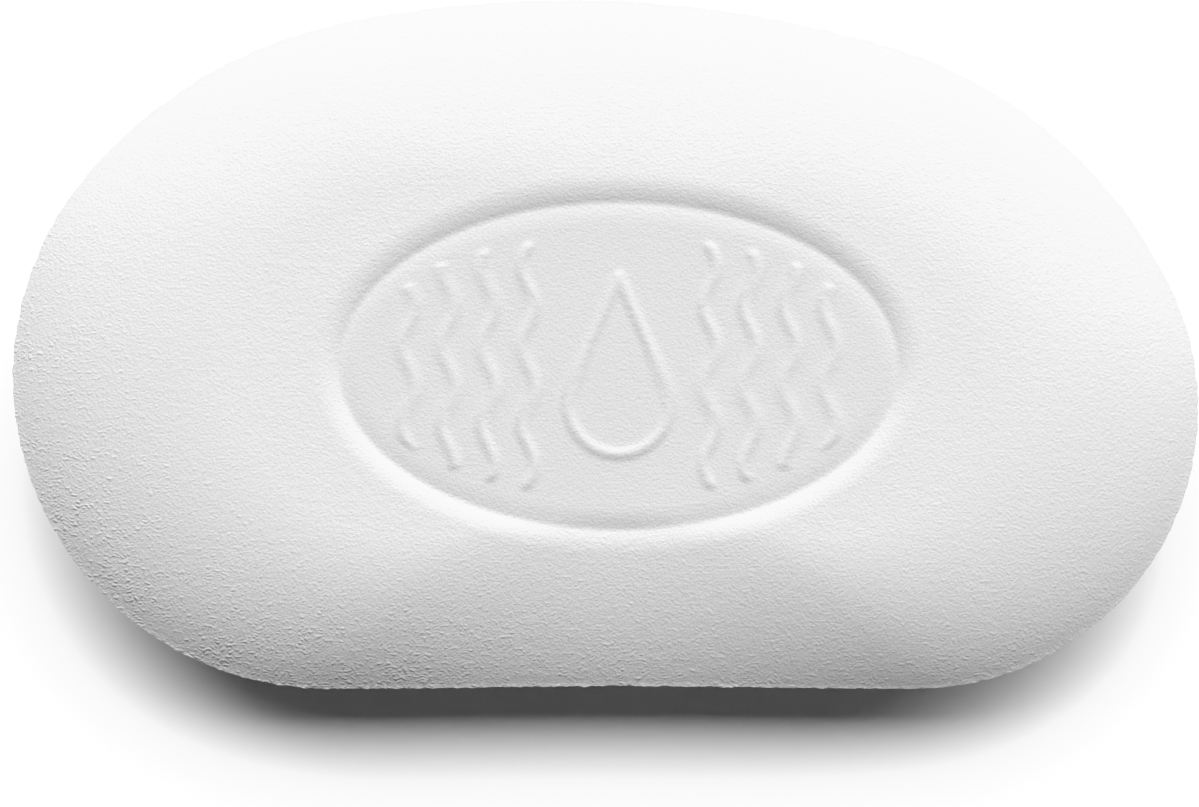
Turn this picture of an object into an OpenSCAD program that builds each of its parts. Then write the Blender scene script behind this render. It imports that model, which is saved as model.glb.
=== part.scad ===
// Potter's finishing sponge: one soft D-shaped foam pad with a pressed oval medallion.
// Millimetres. X runs along the length, Y towards the curved back, Z up.
// The origin is under the middle of the pad, on the flat face that it rests on.

/* [Body] */
// Length from end to end
body_length = 125; // [115:1:140]
// Depth from the straight front to the top of the curved back
body_depth = 73.6; // [72:0.2:78]
// Thickness in the middle of the pad
body_thickness = 16; // [14:0.5:22]

/* [Outline] */
// Radius of the right end, which also rounds the front right corner
right_end_radius = 30; // [27:0.5:33]
// Radius of the left end, which also rounds the front left corner
left_end_radius = 33.5; // [30:0.5:35]
// Radius of the shoulder between each end and the back
shoulder_radius = 48; // [42:1:60]
// Radius of the long curved back
back_radius = 118; // [105:1:150]
// Sideways position of the furthest point of the back
back_peak_x = -4; // [-6:0.5:0]
// Depth of the very slight hollow along the front
front_hollow = 0.3; // [0:0.1:1]

/* [Edge] */
// Height of the crease around the rim, at the front, above the face that the pad rests on
crease_height = 11.2; // [8:0.1:12]
// How much higher the crease is at the back
crease_rise = 0.5; // [0:0.1:1.5]
// Width over which the top rolls down to the crease
top_roll_width = 23; // [16:0.5:26]
// Sweep of the top's roll: 90 makes it vertical at the crease, less gives a flatter dome
top_roll_sweep = 58; // [30:1:80]
// Width over which the belly below the crease rolls in to the flat underside
under_roll_width = 16; // [10:0.5:24]
// Sweep of the belly's roll: 90 makes it vertical at the crease
under_roll_sweep = 75; // [50:1:85]

/* [Medallion] */
// Length of the oval along the bottom of its groove
medallion_length = 59; // [50:0.5:64]
// Width of the oval along the bottom of its groove
medallion_width = 35; // [28:0.2:36]
// Sideways position of the oval
medallion_x = 1.4; // [-4:0.1:4]
// Position of the oval from front to back
medallion_y = -3.1; // [-4:0.1:2]
// Least depth of the groove below the top face
groove_depth = 0.4; // [0.3:0.1:1]
// Width at the front of the outer slope, which rolls down into the groove
outer_slope_front = 2.6; // [1.5:0.1:3.5]
// Width of the outer slope at the back
outer_slope_back = 3; // [1.5:0.1:3.5]
// Width of the inner slope, which rises to the flat of the oval
inner_slope = 2.3; // [1:0.1:4]
// Least height of the inner slope
inner_rise = 0.2; // [0.1:0.1:0.6]
// How far the flat of the oval lies below the top of the pad
medallion_sink = 0.4; // [0:0.1:0.5]

/* [Hidden] */
half_length = body_length / 2;
half_depth = body_depth / 2;
medallion_centre = [medallion_x, medallion_y];
oval = [medallion_length / 2, medallion_width / 2];
flat_height = body_thickness - medallion_sink;
point_gap = 4;         // spacing of the points around the outline
roll_steps = 12;
slope_steps = 3;

// ---- Outline: a front line and five arcs, each tangent to the next ----

right_end_centre = [half_length - right_end_radius, right_end_radius - half_depth];
left_end_centre = [left_end_radius - half_length, left_end_radius - half_depth];
back_centre = [back_peak_x, half_depth - back_radius];
right_shoulder_centre = crossing(
    right_end_centre, shoulder_radius - right_end_radius, back_centre, back_radius - shoulder_radius, -1);
left_shoulder_centre = crossing(
    left_end_centre, shoulder_radius - left_end_radius, back_centre, back_radius - shoulder_radius, 1);

// Where two circles cross; side 1 is left of the line from the first centre to the second.
function crossing(first, first_radius, second, second_radius, side) =
    let (
        line = second - first,
        gap = norm(line),
        along = (first_radius^2 - second_radius^2 + gap^2) / (2 * gap),
        across = sqrt(first_radius^2 - along^2),
        direction = line / gap
    )
    first + along * direction + side * across * [-direction.y, direction.x];

// Direction from one point to another, from -90 up to 270 degrees.
function heading(from, to) =
    let (angle = atan2(to.y - from.y, to.x - from.x))
    angle < -90 ? angle + 360 : angle;

function arc(centre, radius, from, to) =
    let (steps = ceil((to - from) * radius * PI / 180 / point_gap))
    [for (i = [0 : steps - 1])
        let (angle = from + (to - from) * i / steps)
        centre + radius * [cos(angle), sin(angle)]];

function front_line() =
    let (
        run = right_end_centre.x - left_end_centre.x,
        steps = ceil(run / point_gap)
    )
    [for (i = [0 : steps - 1])
        let (share = i / steps)
        [left_end_centre.x + run * share,
         -half_depth + front_hollow * (1 - cos(360 * share)) / 2]];

right_joint = heading(right_shoulder_centre, right_end_centre);
right_back_joint = heading(back_centre, right_shoulder_centre);
left_back_joint = heading(back_centre, left_shoulder_centre);
left_joint = heading(left_shoulder_centre, left_end_centre);

outline = concat(
    arc(right_end_centre, right_end_radius, -90, right_joint),
    arc(right_shoulder_centre, shoulder_radius, right_joint, right_back_joint),
    arc(back_centre, back_radius, right_back_joint, left_back_joint),
    arc(left_shoulder_centre, shoulder_radius, left_back_joint, left_joint),
    arc(left_end_centre, left_end_radius, left_joint, 270),
    front_line());

// ---- Surface: closed rings of points, from the top of the pad to its underside ----

// Both rolls follow an arc that is stretched to the roll's width and height.
// This is the share of the height that is reached at a distance in from the outline.
function roll_share(distance, width, sweep) =
    let (angle = asin(sin(sweep) * max(0, 1 - distance / width)))
    (cos(angle) - cos(sweep)) / (1 - cos(sweep));

// The point of an oval that lies in the same direction as an outline point.
function oval_point(edge, size) =
    let (
        away = edge - medallion_centre,
        angle = atan2(away.y / half_depth, away.x / half_length)
    )
    medallion_centre + [size.x * cos(angle), size.y * sin(angle)];

// A value that changes evenly with the outline point, from the front to the back.
function between(edge, front, back) = front + (back - front) * (edge.y / half_depth + 1) / 2;

function crease_at(edge) = between(edge, crease_height, crease_height + crease_rise);

function outer_slope(edge) = between(edge, outer_slope_front, outer_slope_back);

function top_height(edge, place) =
    let (
        crease = crease_at(edge),
        share = roll_share(norm(place - edge), top_roll_width, top_roll_sweep)
    )
    crease + (body_thickness - crease) * share;

// Rings of a roll lie closer together near the crease, where it is steepest.
function towards(edge, middle, step) = edge + (middle - edge) * (step / roll_steps)^1.5;

function top_roll_ring(step) =
    [for (edge = outline)
        let (
            lip = oval + [1, 1] * outer_slope(edge),
            place = towards(edge, oval_point(edge, lip), step)
        )
        [place.x, place.y, top_height(edge, place)]];

function under_roll_ring(step) =
    [for (edge = outline)
        let (
            middle = edge * (1 - under_roll_width / norm(edge)),
            place = towards(edge, middle, step),
            share = roll_share(norm(place - edge), under_roll_width, under_roll_sweep)
        )
        [place.x, place.y, crease_at(edge) * (1 - share)]];

// Height of the bottom of the groove, in the same direction as an outline point.
function groove_bottom(edge) =
    min(top_height(edge, oval_point(edge, oval)) - groove_depth, flat_height - inner_rise);

// On both slopes, share 0 is the bottom of the groove and 1 is the end of the slope.
function outer_slope_ring(share) =
    [for (edge = outline)
        let (
            depth = top_height(edge, oval_point(edge, oval)) - groove_bottom(edge),
            place = oval_point(edge, oval + [1, 1] * share * outer_slope(edge))
        )
        [place.x, place.y, top_height(edge, place) - depth * (1 - share)^2]];

function inner_slope_ring(share) =
    [for (edge = outline)
        let (
            rise = flat_height - groove_bottom(edge),
            place = oval_point(edge, oval - [1, 1] * share * inner_slope)
        )
        [place.x, place.y, flat_height - rise * (1 - share)^2]];

rings = concat(
    [for (i = [slope_steps : -1 : 1]) inner_slope_ring(i / slope_steps)],
    [for (i = [0 : slope_steps - 1]) outer_slope_ring(i / slope_steps)],
    [for (i = [roll_steps : -1 : 0]) top_roll_ring(i)],
    [for (i = [1 : roll_steps]) under_roll_ring(i)]);

// Both flats are closed by triangles that meet at a middle point.
module skin() {
    around = len(outline);
    last = len(rings) - 1;
    top_middle = len(rings) * around;
    under_middle = top_middle + 1;
    polyhedron(
        points = concat(
            [for (ring = rings) each ring],
            [[medallion_x, medallion_y, flat_height], [0, 0, 0]]),
        faces = [for (i = [0 : around - 1])
            let (next = (i + 1) % around)
            each concat(
                [[top_middle, next, i]],
                [for (level = [0 : last - 1], half = [0, 1])
                    let (
                        upper = level * around,
                        lower = upper + around
                    )
                    half == 0 ? [upper + i, upper + next, lower + next]
                              : [upper + i, lower + next, lower + i]],
                [[last * around + i, last * around + next, under_middle]])]);
}

module sponge_body() {
    color([0.94, 0.94, 0.93])
        skin();
}

sponge_body();
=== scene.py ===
"""A potter's finishing sponge: one pad of white fine-celled foam with a pressed oval medallion.

The foam is one dense mesh. Its shape follows the same arcs and slopes as the solid, and it adds
what the solid leaves out: the lines in the medallion, the wrinkled skin and the trimmed rim.
Metres; +X along the length, +Y towards the curved back, +Z up.
"""

import math

import bpy
import numpy as np
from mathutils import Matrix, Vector, noise


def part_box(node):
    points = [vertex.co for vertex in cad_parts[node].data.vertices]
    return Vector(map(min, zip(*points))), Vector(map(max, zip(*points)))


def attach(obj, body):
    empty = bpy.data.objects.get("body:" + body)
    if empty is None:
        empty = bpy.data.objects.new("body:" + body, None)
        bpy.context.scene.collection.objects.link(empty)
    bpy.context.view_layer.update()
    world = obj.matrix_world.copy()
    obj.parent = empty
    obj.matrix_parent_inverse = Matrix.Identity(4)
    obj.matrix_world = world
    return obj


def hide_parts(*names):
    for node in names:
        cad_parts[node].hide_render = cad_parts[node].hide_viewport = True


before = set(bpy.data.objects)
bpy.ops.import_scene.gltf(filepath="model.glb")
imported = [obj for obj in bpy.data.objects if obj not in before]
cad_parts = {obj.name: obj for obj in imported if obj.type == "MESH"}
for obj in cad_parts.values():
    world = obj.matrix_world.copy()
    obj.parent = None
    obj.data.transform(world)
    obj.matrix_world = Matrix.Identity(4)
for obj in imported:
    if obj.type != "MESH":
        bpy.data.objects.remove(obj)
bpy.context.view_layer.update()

# ---- Sizes, from the solid's box ----

low, high = (np.array(corner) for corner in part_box("sponge_body"))
LENGTH, DEPTH, THICKNESS = high - low
HALF = np.array([LENGTH, DEPTH]) / 2
MM = LENGTH / 125  # one millimetre of the solid

RIGHT_END = 30 * MM  # radii of the outline's arcs
LEFT_END = 33.5 * MM
SHOULDER = 48 * MM
BACK = 118 * MM
BACK_PEAK_X = -4 * MM
FRONT_HOLLOW = 0.3 * MM

CREASE_HEIGHT = 11.2 * MM  # at the front
CREASE_RISE = 0.5 * MM  # from there to the back
TOP_ROLL = 23 * MM, math.radians(58)  # width over which the top rolls down, and its arc's sweep
UNDER_ROLL = 16 * MM, math.radians(75)
RIM_FLASH = 0.12 * MM  # how far the trimmed rim stands out at the crease

CENTRE = np.array([1.4, -3.1]) * MM  # middle of the medallion
OVAL = np.array([59, 35]) / 2 * MM  # along the bottom of its groove
GROOVE_DEPTH = 0.4 * MM  # the least depth
INNER_RISE = 0.2 * MM  # the least height of the inner slope
OUTER_SLOPE = 2.6 * MM, 3 * MM  # width at the front and at the back
INNER_SLOPE = 2.3 * MM
FLAT_HEIGHT = THICKNESS - 0.4 * MM

# Rings of vertices in each part of the top, from the medallion's middle to the crease.
FLAT_RINGS = 60
INNER_RINGS = 7
OUTER_RINGS = 9
ROLL_RINGS = 54
TOP_RINGS = FLAT_RINGS + INNER_RINGS + OUTER_RINGS + ROLL_RINGS
UNDER_RINGS = 12  # of the roll below the crease

# ---- Outline: five tangent arcs and the front line ----


def crossing(first, first_radius, second, second_radius, side):
    """Where two circles cross, on the left (1) or right (-1) of the line between their centres."""
    line = second - first
    gap = np.hypot(*line)
    along = (first_radius**2 - second_radius**2 + gap**2) / (2 * gap)
    across = math.sqrt(first_radius**2 - along**2)
    direction = line / gap
    return first + along * direction + side * across * np.array([-direction[1], direction[0]])


def heading(start, end):
    """Direction from one place to another, from 0 to one full turn."""
    return math.atan2(end[1] - start[1], end[0] - start[0]) % math.tau


def arc(centre, radius, start, end, steps=400):
    angle = np.linspace(start, end, steps, endpoint=False)
    return centre + radius * np.column_stack([np.cos(angle), np.sin(angle)])


def front_line(start, end, steps=400):
    share = np.linspace(0, 1, steps, endpoint=False)
    hollow = FRONT_HOLLOW * (1 - np.cos(math.tau * share)) / 2
    return np.column_stack([start + (end - start) * share, hollow - HALF[1]])


def outline(around):
    """The place at each share of the way around the pad, from its right end."""
    right = np.array([HALF[0] - RIGHT_END, RIGHT_END - HALF[1]])
    left = np.array([LEFT_END - HALF[0], LEFT_END - HALF[1]])
    back = np.array([BACK_PEAK_X, HALF[1] - BACK])
    right_shoulder = crossing(right, SHOULDER - RIGHT_END, back, BACK - SHOULDER, -1)
    left_shoulder = crossing(left, SHOULDER - LEFT_END, back, BACK - SHOULDER, 1)
    joints = [
        heading(right_shoulder, right),
        heading(back, right_shoulder),
        heading(back, left_shoulder),
        heading(left_shoulder, left),
    ]
    chain = np.vstack([
        arc(right, RIGHT_END, 0, joints[0]),
        arc(right_shoulder, SHOULDER, joints[0], joints[1]),
        arc(back, BACK, joints[1], joints[2]),
        arc(left_shoulder, SHOULDER, joints[2], joints[3]),
        arc(left, LEFT_END, joints[3], 1.5 * math.pi),
        front_line(left[0], right[0]),
        arc(right, RIGHT_END, 1.5 * math.pi, math.tau),
        [[HALF[0], right[1]]],
    ])
    run = np.concatenate([[0], np.cumsum(np.hypot(*np.diff(chain, axis=0).T))])
    return np.column_stack([np.interp(around * run[-1], run, column) for column in chain.T])


# ---- Grids ----


def square_grid(levels):
    """A square grid as rings around its middle: each vertex's ring, its share of the way around
    that ring from the +X side, and the quads between them."""
    steps = np.arange(-levels, levels + 1)
    i, j = (grid.ravel() for grid in np.meshgrid(steps, steps, indexing="ij"))
    ring = np.maximum(abs(i), abs(j))
    size = np.maximum(ring, 1)
    sides = [i == ring, j == ring, -i == ring]
    eighths = np.select(sides, [j / size, 2 - i / size, 4 - j / size], 6 + i / size)
    side = 2 * levels + 1
    first = (np.arange(side - 1)[:, None] * side + np.arange(side - 1)).ravel()
    quads = np.column_stack([first, first + side, first + side + 1, first + 1])
    return ring, eighths / 8 % 1, quads


def border(ring, around):
    """Indices of a grid's outermost ring, in order around it."""
    edge = np.flatnonzero(ring == ring.max())
    return edge[np.argsort(around[edge])]


def section(ring, start, count):
    """How far each ring lies through one part of the surface, from 0 to 1."""
    return np.clip((ring - start) / count, 0, 1)[:, None]


# ---- Shape of the foam ----


def roll_share(place, edge, roll):
    """Share of a roll's height that is reached at places in from the outline."""
    width, sweep = roll
    distance = np.hypot(*(place - edge).T)[:, None]
    angle = np.arcsin(math.sin(sweep) * np.maximum(1 - distance / width, 0))
    return (np.cos(angle) - math.cos(sweep)) / (1 - math.cos(sweep))


def towards(edge, middle, share):
    """Places on the way in from the outline, closer together near it."""
    return edge + (middle - edge) * share**1.15


def between(edge, front, back):
    """A value that changes evenly with the outline point, from the front to the back."""
    return front + (back - front) * (edge[:, 1:] / HALF[1] + 1) / 2


def crease_at(edge):
    return between(edge, CREASE_HEIGHT, CREASE_HEIGHT + CREASE_RISE)


def top_surface(ring, around):
    edge = outline(around)
    turn = np.arctan2(*((edge - CENTRE) / HALF).T[::-1])[:, None]
    direction = np.hstack([np.cos(turn), np.sin(turn)])
    flat = section(ring, 0, FLAT_RINGS)
    inner = section(ring, FLAT_RINGS, INNER_RINGS)
    outer = section(ring, FLAT_RINGS + INNER_RINGS, OUTER_RINGS)
    rolled = section(ring, TOP_RINGS - ROLL_RINGS, ROLL_RINGS)

    def height(place):
        return crease_at(edge) + (THICKNESS - crease_at(edge)) * roll_share(place, edge, TOP_ROLL)

    slope = between(edge, *OUTER_SLOPE)
    lip = CENTRE + (OVAL + slope) * direction
    size = flat * (OVAL - INNER_SLOPE) + inner * INNER_SLOPE + outer * slope
    place = np.where(rolled > 0, towards(edge, lip, 1 - rolled), CENTRE + size * direction)
    over_groove = height(CENTRE + OVAL * direction)
    bottom = np.minimum(over_groove - GROOVE_DEPTH, FLAT_HEIGHT - INNER_RISE)
    outside = height(place) - (over_groove - bottom) * (1 - outer) ** 2
    inside = FLAT_HEIGHT - (FLAT_HEIGHT - bottom) * inner**2
    return np.hstack([place, np.where(inner < 1, inside, outside)])


def under_surface():
    """Vertices below the crease: the rings of the roll, then a grid with half as many around."""
    count = 8 * TOP_RINGS
    edge = outline(np.arange(count) / count)
    inward = -edge / np.hypot(*edge.T)[:, None]
    rings = []
    for step in range(1, UNDER_RINGS + 1):
        place = towards(edge, edge + UNDER_ROLL[0] * inward, step / UNDER_RINGS)
        rings.append(np.hstack([place, crease_at(edge) * (1 - roll_share(place, edge, UNDER_ROLL))]))
    ring, half_around, quads = square_grid(TOP_RINGS // 2)
    half_edge = outline(half_around)
    reach = (ring / ring.max() * (1 - 1 / TOP_RINGS))[:, None]
    flat = reach * half_edge * (1 - UNDER_ROLL[0] / np.hypot(*half_edge.T)[:, None])
    rings.append(np.column_stack([flat, np.zeros(len(flat))]))
    return np.vstack(rings), count, border(ring, half_around), quads[:, ::-1]


def joined(upper, lower):
    """Quads from one ring down to the next ring with as many vertices."""
    return np.column_stack([upper, lower, np.roll(lower, -1), np.roll(upper, -1)])


def halved(upper, lower):
    """Triangles from one ring down to a ring with half as many vertices."""
    even, odd = upper[0::2], upper[1::2]
    following = np.roll(lower, -1)
    return np.vstack([
        np.column_stack([even, lower, odd]),
        np.column_stack([odd, lower, following]),
        np.column_stack([odd, following, np.roll(even, -1)]),
    ])


def foam_surface():
    ring, around, quads = square_grid(TOP_RINGS)
    top = top_surface(ring, around)
    under, count, half_border, under_quads = under_surface()
    faces = quads.tolist()
    upper = border(ring, around)
    for step in range(UNDER_RINGS):
        lower = len(top) + step * count + np.arange(count)
        faces += joined(upper, lower).tolist()
        upper = lower
    start = len(top) + UNDER_RINGS * count
    faces += halved(upper, start + half_border).tolist()
    faces += (start + under_quads).tolist()
    return np.vstack([top, under]), faces, ring


# ---- Motif: a plain water drop between upright ripples, in low relief on the medallion ----

LINE_WIDTH = 1.7 * MM
LINE_HEIGHT = 0.2 * MM
DROP_HEIGHT = 19 * MM
DROP_RADIUS = 5.4 * MM
RIPPLES = 4  # on each side of the drop
RIPPLE_START = 9.6 * MM
RIPPLE_PITCH = 4.2 * MM
RIPPLE_SWING = 0.7 * MM
RIPPLE_WAVE = 8.5 * MM
RIPPLE_REACH = 0.76  # share of the oval that the ripples fill


def ripple_distance(x, y, index):
    """Distance from one pair of ripples, which mirror each other across the drop."""
    start = RIPPLE_START + index * RIPPLE_PITCH
    reach = RIPPLE_REACH * OVAL[1] * math.sqrt(1 - (start / OVAL[0]) ** 2)
    phase = math.tau * y / RIPPLE_WAVE
    slope = RIPPLE_SWING * math.tau / RIPPLE_WAVE * np.cos(phase)
    beside = abs(abs(x) - start - RIPPLE_SWING * np.sin(phase)) / np.hypot(1, slope)
    return np.hypot(beside, np.maximum(abs(y) - reach, 0))


def drop_distance(x, y):
    """Distance from the outline of a circle drawn out to a point by its two tangents."""
    reach = DROP_HEIGHT - DROP_RADIUS
    y = y - (DROP_RADIUS - DROP_HEIGHT / 2)
    tilt = math.acos(DROP_RADIUS / reach)  # from straight up to where a tangent leaves the circle
    touch = DROP_RADIUS * np.array([math.sin(tilt), math.cos(tilt)])
    tangent = np.array([-touch[0], reach - touch[1]])
    reached = (abs(x) - touch[0]) * tangent[0] + (y - touch[1]) * tangent[1]
    along = np.clip(reached / (tangent @ tangent), 0, 1)
    to_tangent = np.hypot(abs(x) - touch[0] - along * tangent[0], y - touch[1] - along * tangent[1])
    on_circle = np.arctan2(abs(x), y) > tilt
    to_circle = np.where(on_circle, abs(np.hypot(x, y) - DROP_RADIUS), np.inf)
    return np.minimum(to_tangent, to_circle)


def motif(points):
    """Height that the lines add at each point, with soft sides."""
    x, y = (points[:, :2] - CENTRE).T
    ripples = [ripple_distance(x, y, index) for index in range(RIPPLES)]
    distance = np.min([drop_distance(x, y)] + ripples, axis=0)
    across = np.clip(distance / (LINE_WIDTH / 2), 0, 1)
    return LINE_HEIGHT * (1 - across**2) ** 2


# ---- Skin: where the foam is pressed or crumpled, and its wrinkles ----

CALM_SKIN = 0.22  # strength of the wrinkles away from the rim
FRONT_SKIN = 0.6  # what the front and the front left corner add, at the rim
CORNER_SKIN = 0.9
FOLD_HEIGHT = 0.05 * MM
GRAIN_HEIGHT = 0.012 * MM
ANOTHER_PLACE = 1  # far enough along for noise of its own


def fractal(points, size, stretch, octaves):
    """Smooth noise about 0, with features of the given size, drawn out along X by stretch."""
    scaled = points / size / np.array([stretch, 1, 1])
    return np.array([noise.fractal(Vector(p), 1, 2, octaves, noise_basis="PERLIN_ORIGINAL") for p in scaled])


def pressed(points):
    """1 inside the medallion and 0 outside it, for points on the top."""
    place = (points[:, :2] - CENTRE) / OVAL
    return np.clip((1.04 - np.hypot(*place.T)) / 0.08, 0, 1) * (points[:, 2] > CREASE_HEIGHT)


def crumpled(points):
    """How strongly the skin is crumpled: most at the front left of the rim, then along the front."""
    x, y = points[:, 0] / HALF[0], points[:, 1] / HALF[1]
    near_rim = np.clip((THICKNESS - points[:, 2]) / (THICKNESS - CREASE_HEIGHT), 0, 1) ** 0.7
    front = np.clip((-y - 0.3) / 0.7, 0, 1) * np.clip(1.2 - 0.8 * x, 0.5, 1)
    corner = np.clip((-0.9 * x - 0.5 * y - 0.5) / 0.4, 0, 1)
    patches = 1 + 0.9 * fractal(points, 4 * MM, 1.5, 2)
    added = near_rim * (FRONT_SKIN * front + CORNER_SKIN * corner) * patches
    return (CALM_SKIN + added) * (1 - 0.7 * pressed(points))


def wrinkles(points, strength):
    """Height that short folds and grain add along the normal."""
    folds = 1 - abs(fractal(points, 0.75 * MM, 1.4, 2))
    grain = fractal(points + ANOTHER_PLACE, 0.6 * MM, 1.2, 1)
    return FOLD_HEIGHT * strength * (folds - 0.8) + GRAIN_HEIGHT * grain


def flash(points, rim):
    """Outward push of the rim, uneven because bits of trimmed foam stick out of it."""
    outward = points[rim, :2] / np.hypot(*points[rim, :2].T)[:, None]
    ragged = 1 + 1.1 * fractal(points[rim], 0.8 * MM, 1, 2)
    return RIM_FLASH * np.clip(ragged, 0.2, 2)[:, None] * outward


def add_attribute(mesh, name, values):
    mesh.attributes.new(name, "FLOAT", "POINT").data.foreach_set("value", values)


def mark_sharp(mesh, ring):
    """Keep the shading of the top apart from the shading of the belly, along the crease."""
    ends = np.empty(2 * len(mesh.edges), int)
    mesh.edges.foreach_get("vertices", ends)
    on_rim = np.zeros(len(mesh.vertices), bool)
    on_rim[: len(ring)] = ring == TOP_RINGS
    sharp = on_rim[ends.reshape(-1, 2)].all(1)
    mesh.attributes.new("sharp_edge", "BOOLEAN", "EDGE").data.foreach_set("value", sharp)


def foam_object():
    points, faces, ring = foam_surface()
    top = slice(0, len(ring))
    points[top, 2] += motif(points[top]) * (ring < FLAT_RINGS)
    mesh = bpy.data.meshes.new("sponge_foam")
    mesh.from_pydata(points.tolist(), [], faces)
    normals = np.empty(3 * len(points))
    mesh.vertices.foreach_get("normal", normals)
    strength = crumpled(points)
    add_attribute(mesh, "crumpled", strength)
    add_attribute(mesh, "pressed", pressed(points))
    rim = np.flatnonzero(ring == TOP_RINGS)
    points[rim, :2] += flash(points, rim)
    points += normals.reshape(-1, 3) * wrinkles(points, strength)[:, None]
    points[:, 2] = np.maximum(points[:, 2], 0)
    mesh.vertices.foreach_set("co", points.ravel())
    mesh.polygons.foreach_set("use_smooth", np.ones(len(faces), bool))
    mark_sharp(mesh, ring)
    mesh.update()
    foam = bpy.data.objects.new("sponge_foam", mesh)
    bpy.context.collection.objects.link(foam)
    return foam


# ---- Materials ----

FOLD_SIZE = 0.38 * MM
FOLD_STRETCH = 0.75  # under 1 draws the folds out along X
GRAIN_SIZE = 0.3 * MM
CLOUD_SIZE = 14 * MM
RELIEF = 0.14 * MM  # height that the bump stands for
SCATTER = 0.8 * MM  # how far light spreads inside the foam
WHITENESS = 0.775


def node(tree, kind, **inputs):
    made = tree.nodes.new(kind)
    for name, value in inputs.items():
        made.inputs[name.replace("_", " ")].default_value = value
    return made


def math_node(tree, operation, *inputs):
    """A maths node; each input is a number or another node's output."""
    made = tree.nodes.new("ShaderNodeMath")
    made.operation = operation
    for socket, value in zip(made.inputs, inputs):
        if isinstance(value, (int, float)):
            socket.default_value = value
        else:
            tree.links.new(value, socket)
    return made.outputs[0]


def attribute(tree, name):
    made = tree.nodes.new("ShaderNodeAttribute")
    made.attribute_name = name
    return made.outputs["Fac"]


def foam_material():
    """White foam: a stippled grain, short folds whose raised parts carry a painted highlight in the colour,
    and a slightly darker medallion.
    """
    material = bpy.data.materials.new("white_foam")
    material.use_nodes = True
    tree = material.node_tree
    link = tree.links.new
    shader = tree.nodes["Principled BSDF"]
    shader.inputs["Roughness"].default_value = 0.95
    shader.inputs["Specular IOR Level"].default_value = 0.15
    shader.inputs["Subsurface Weight"].default_value = 0.25
    shader.inputs["Subsurface Radius"].default_value = (SCATTER, SCATTER, SCATTER)
    shader.inputs["Subsurface Scale"].default_value = 1

    place = tree.nodes.new("ShaderNodeTexCoord").outputs["Object"]
    stretched = node(tree, "ShaderNodeMapping", Scale=(FOLD_STRETCH, 1, 1))
    link(place, stretched.inputs["Vector"])
    folds = node(tree, "ShaderNodeTexNoise", Scale=1 / FOLD_SIZE, Detail=2, Roughness=0.7)
    folds.noise_type = "RIDGED_MULTIFRACTAL"
    link(stretched.outputs["Vector"], folds.inputs["Vector"])
    grain = node(tree, "ShaderNodeTexNoise", Scale=1 / GRAIN_SIZE, Detail=2, Roughness=0.6)
    cloud = node(tree, "ShaderNodeTexNoise", Scale=1 / CLOUD_SIZE, Detail=2)
    for texture in (grain, cloud):
        link(place, texture.inputs["Vector"])

    crumple = attribute(tree, "crumpled")
    raised = math_node(tree, "MULTIPLY", folds.outputs["Fac"], crumple)
    height = math_node(tree, "MULTIPLY_ADD", grain.outputs["Fac"], 0.55, raised)
    bump = node(tree, "ShaderNodeBump", Strength=1, Distance=RELIEF)
    link(height, bump.inputs["Height"])
    link(bump.outputs["Normal"], shader.inputs["Normal"])

    shade = math_node(tree, "MULTIPLY_ADD", cloud.outputs["Fac"], 0.03, WHITENESS)
    stippled = math_node(tree, "MULTIPLY_ADD", grain.outputs["Fac"], 0.05, shade)
    # Painted highlight: the colour is lightened where the folds stand up, standing in for their lit facets.
    painted_fold_glint = math_node(tree, "MULTIPLY_ADD", raised, 0.05, stippled)
    darkened = math_node(tree, "MULTIPLY_ADD", attribute(tree, "pressed"), -0.05, painted_fold_glint)
    tone = tree.nodes.new("ShaderNodeCombineColor")
    for channel in ("Red", "Green", "Blue"):
        link(darkened, tone.inputs[channel])
    link(tone.outputs["Color"], shader.inputs["Base Color"])
    return material


def floor_material():
    """A grey card that the camera sees exposed to white, as the backdrop of a product photo is."""
    material = bpy.data.materials.new("pale_floor")
    material.use_nodes = True
    tree = material.node_tree
    rays = tree.nodes.new("ShaderNodeLightPath")
    exposure = node(tree, "ShaderNodeMapRange", To_Min=0.4, To_Max=1.75)
    diffuse = tree.nodes.new("ShaderNodeBsdfDiffuse")
    tree.links.new(rays.outputs["Is Camera Ray"], exposure.inputs["Value"])
    tree.links.new(exposure.outputs["Result"], diffuse.inputs["Color"])
    tree.links.new(diffuse.outputs["BSDF"], tree.nodes["Material Output"].inputs["Surface"])
    return material


# ---- Stage: floor, light and camera ----

FLOOR_REACH = 4
FLOOR_HEIGHT = -0.02 * MM  # just clear of the foam that lies on it
PANEL_SIZE = 3.4, 1.9
PANEL_PLACE = 0.58, 0.53, 1.0
PANEL_TILT = math.radians(68)  # from facing straight down, towards the front
PANEL_POWER = 51.3
FILL = 0.04
VIEW_ELEVATION = math.radians(80)
VIEW_DISTANCE = 1.5
FILLED_WIDTH = 0.986  # share of the frame's width that the sponge fills
SHIFT_RIGHT = 0.005  # how far the sponge's middle lies from the frame's, in frame widths
SHIFT_UP = 0.050
BRIGHTEST = 2.0  # light at the right end of the tone curve
HIGHLIGHTS = [(0.92, 0.92), (1.0, 0.945), (1.15, 0.97), (1.3, 1.0)]  # light, and how bright it shows


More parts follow.
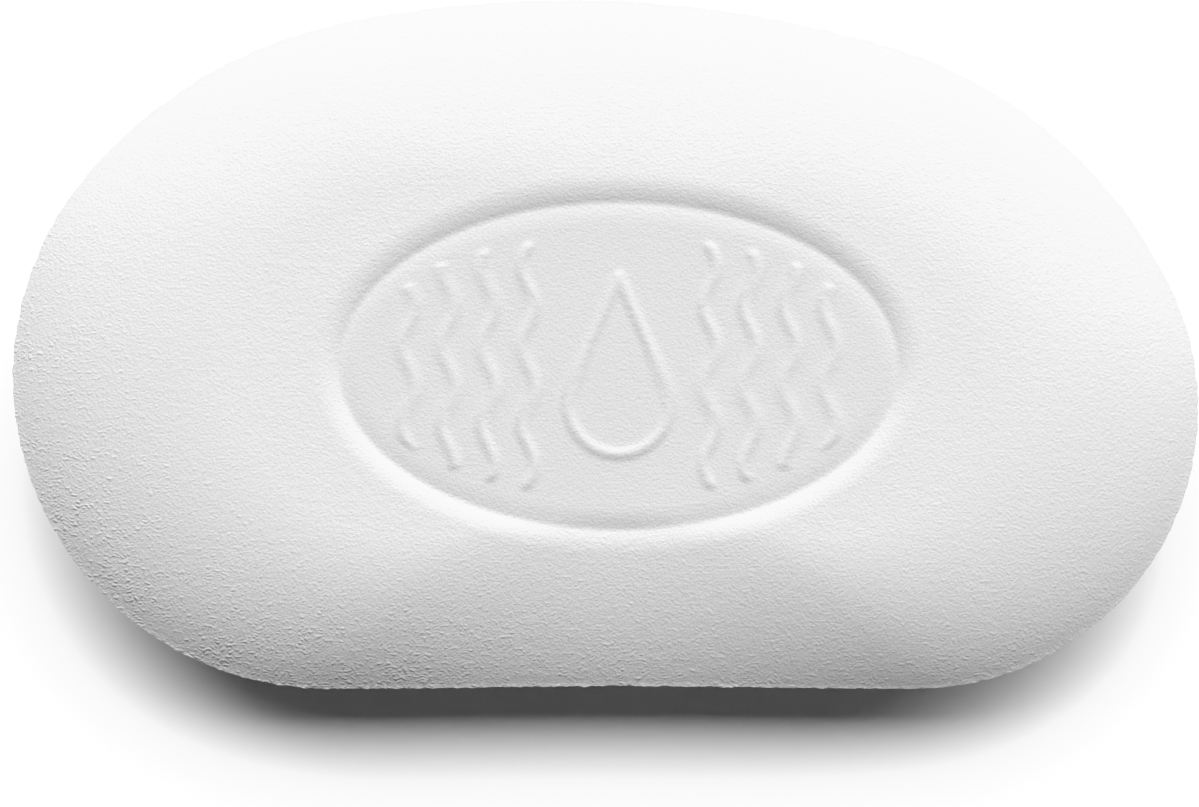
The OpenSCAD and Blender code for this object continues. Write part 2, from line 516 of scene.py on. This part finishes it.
def add_floor():
    mesh = bpy.data.meshes.new("floor")
    signs = [(-1, -1), (1, -1), (1, 1), (-1, 1)]
    corners = [(x * FLOOR_REACH, y * FLOOR_REACH, FLOOR_HEIGHT) for x, y in signs]
    mesh.from_pydata(corners, [], [(0, 1, 2, 3)])
    floor = bpy.data.objects.new("floor", mesh)
    bpy.context.collection.objects.link(floor)
    mesh.materials.append(floor_material())


def add_panel():
    """A wide soft panel behind the sponge, rather to its right, leaning over it."""
    data = bpy.data.lights.new("panel", "AREA")
    data.shape = "RECTANGLE"
    data.size, data.size_y = PANEL_SIZE
    data.energy = PANEL_POWER
    panel = bpy.data.objects.new("panel", data)
    bpy.context.collection.objects.link(panel)
    panel.location = PANEL_PLACE
    panel.rotation_euler.x = -PANEL_TILT


def add_camera():
    data = bpy.data.cameras.new("camera")
    frame_width = LENGTH / FILLED_WIDTH
    data.sensor_width = 36
    data.lens = data.sensor_width * VIEW_DISTANCE / frame_width
    data.clip_end = 20
    data.shift_x = -SHIFT_RIGHT
    data.shift_y = -SHIFT_UP
    camera = bpy.data.objects.new("camera", data)
    bpy.context.collection.objects.link(camera)
    outward = Vector((0, -math.cos(VIEW_ELEVATION), math.sin(VIEW_ELEVATION)))
    camera.location = Vector((0, 0, CREASE_HEIGHT)) + outward * VIEW_DISTANCE
    camera.rotation_euler = (-outward).to_track_quat("-Z", "Y").to_euler()
    bpy.context.scene.camera = camera


def set_world():
    world = bpy.data.worlds.new("studio")
    world.use_nodes = True
    world.node_tree.nodes["Background"].inputs["Strength"].default_value = FILL
    bpy.context.scene.world = world


def set_tone():
    """Standard colours, with the soft shoulder that a camera gives to highlights."""
    view = bpy.context.scene.view_settings
    view.view_transform = "Standard"
    view.use_curve_mapping = True
    tone = view.curve_mapping
    tone.white_level = (BRIGHTEST, BRIGHTEST, BRIGHTEST)
    curve = tone.curves[3]
    for light, shown in HIGHLIGHTS:
        curve.points.new(light / BRIGHTEST, shown)
    for point in curve.points:
        point.handle_type = "VECTOR"
    tone.update()


foam = foam_object()
foam.data.materials.append(foam_material())
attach(foam, "root")
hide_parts("sponge_body")

add_floor()
add_panel()
set_world()
set_tone()
add_camera()
